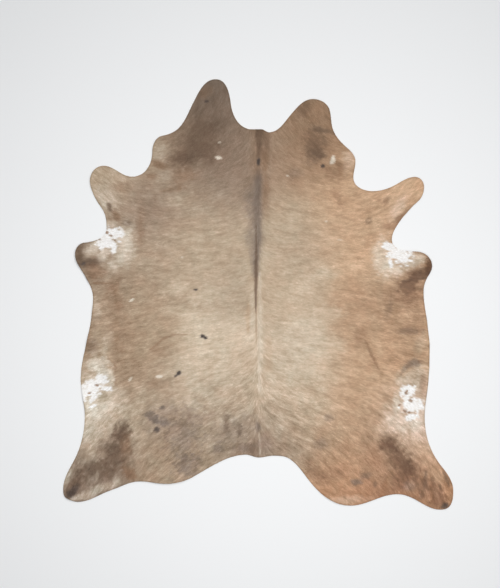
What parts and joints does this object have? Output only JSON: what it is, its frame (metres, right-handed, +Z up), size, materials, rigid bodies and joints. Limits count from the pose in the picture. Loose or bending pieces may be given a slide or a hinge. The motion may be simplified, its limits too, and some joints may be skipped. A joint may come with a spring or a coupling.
{
  "type": "cowhide",
  "caption": "Flat cowhide rug with the hair on, trimmed round neck, legs and rump, with low ripples along its edge.",
  "frame": {"origin": "on the floor under the middle of the hide's outline", "axes": "+Z up out of the hair side, +Y along the spine towards the neck, +X towards the hide's right edge as seen from above with the neck away from the viewer"},
  "size_m": [1.9448, 2.1456, 0.026],
  "materials": {
    "hide": "short taupe hair lying flat, soft sheen"
  },
  "bodies": {
    "root": {"cowhide": "hide"}
  },
  "joints": []
}
